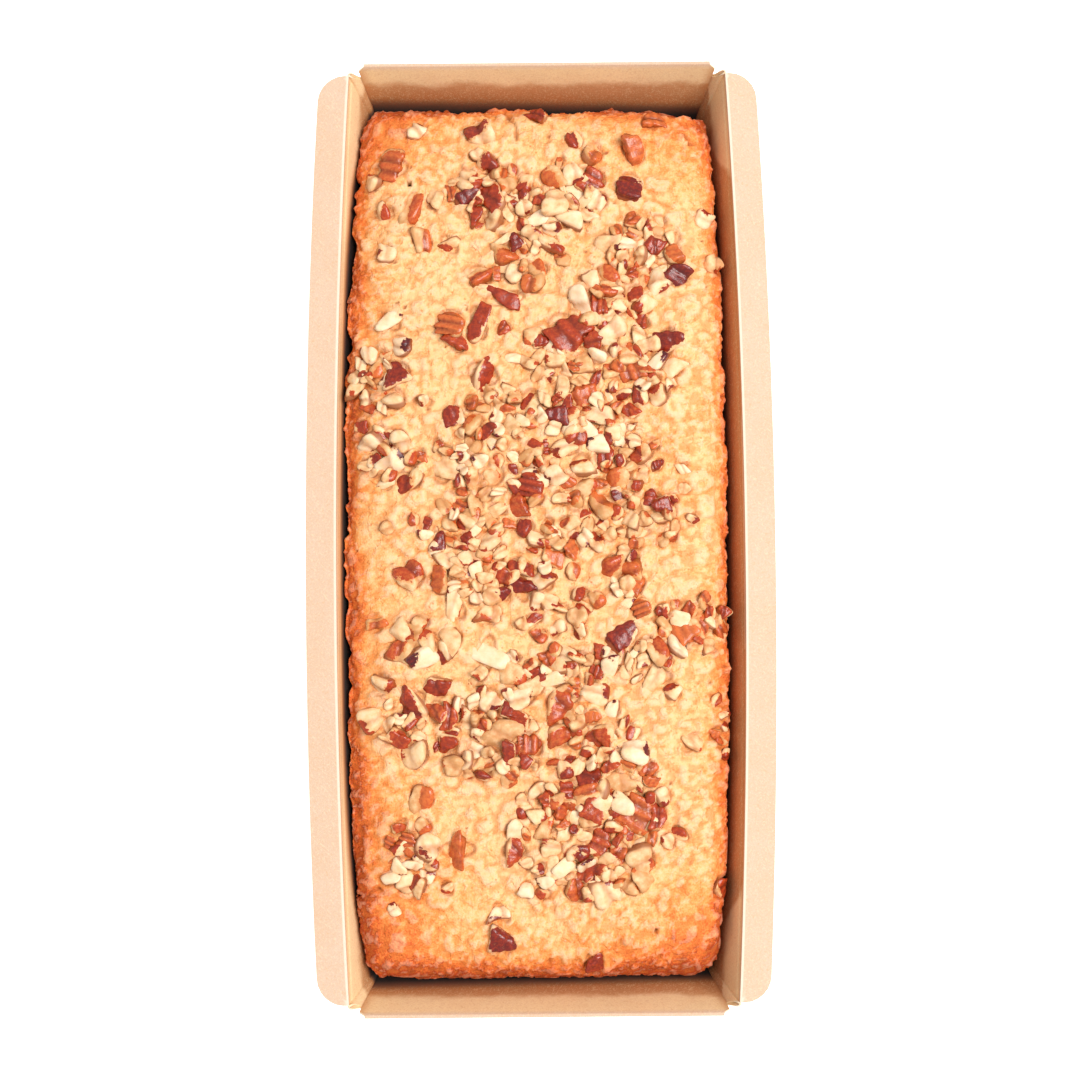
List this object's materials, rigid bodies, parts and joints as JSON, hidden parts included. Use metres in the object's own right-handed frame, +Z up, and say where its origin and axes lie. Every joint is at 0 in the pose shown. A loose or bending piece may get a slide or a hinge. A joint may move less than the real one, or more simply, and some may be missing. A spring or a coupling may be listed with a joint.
{
  "type": "pecan loaf cake",
  "caption": "Long loaf cake with a domed golden crust and chopped pecans, baked in a folded kraft-board tray with flared walls and side flanges.",
  "frame": {"origin": "middle of the tray's base, on its underside", "axes": "+Y along the loaf, +X across it towards the side where the crust's edge is lower, +Z up out of the tray"},
  "size_m": [0.1102, 0.2248, 0.0554],
  "materials": {
    "crust": "baked golden crust, dry and cobbled, browner at the edges, with glossy brown-skinned and cream nut pieces",
    "board": "unbleached kraft board, matt, with fine fibre specks and butter stains inside near the cake"
  },
  "bodies": {
    "root": {"cake": "crust", "tray": "board"}
  },
  "joints": []
}
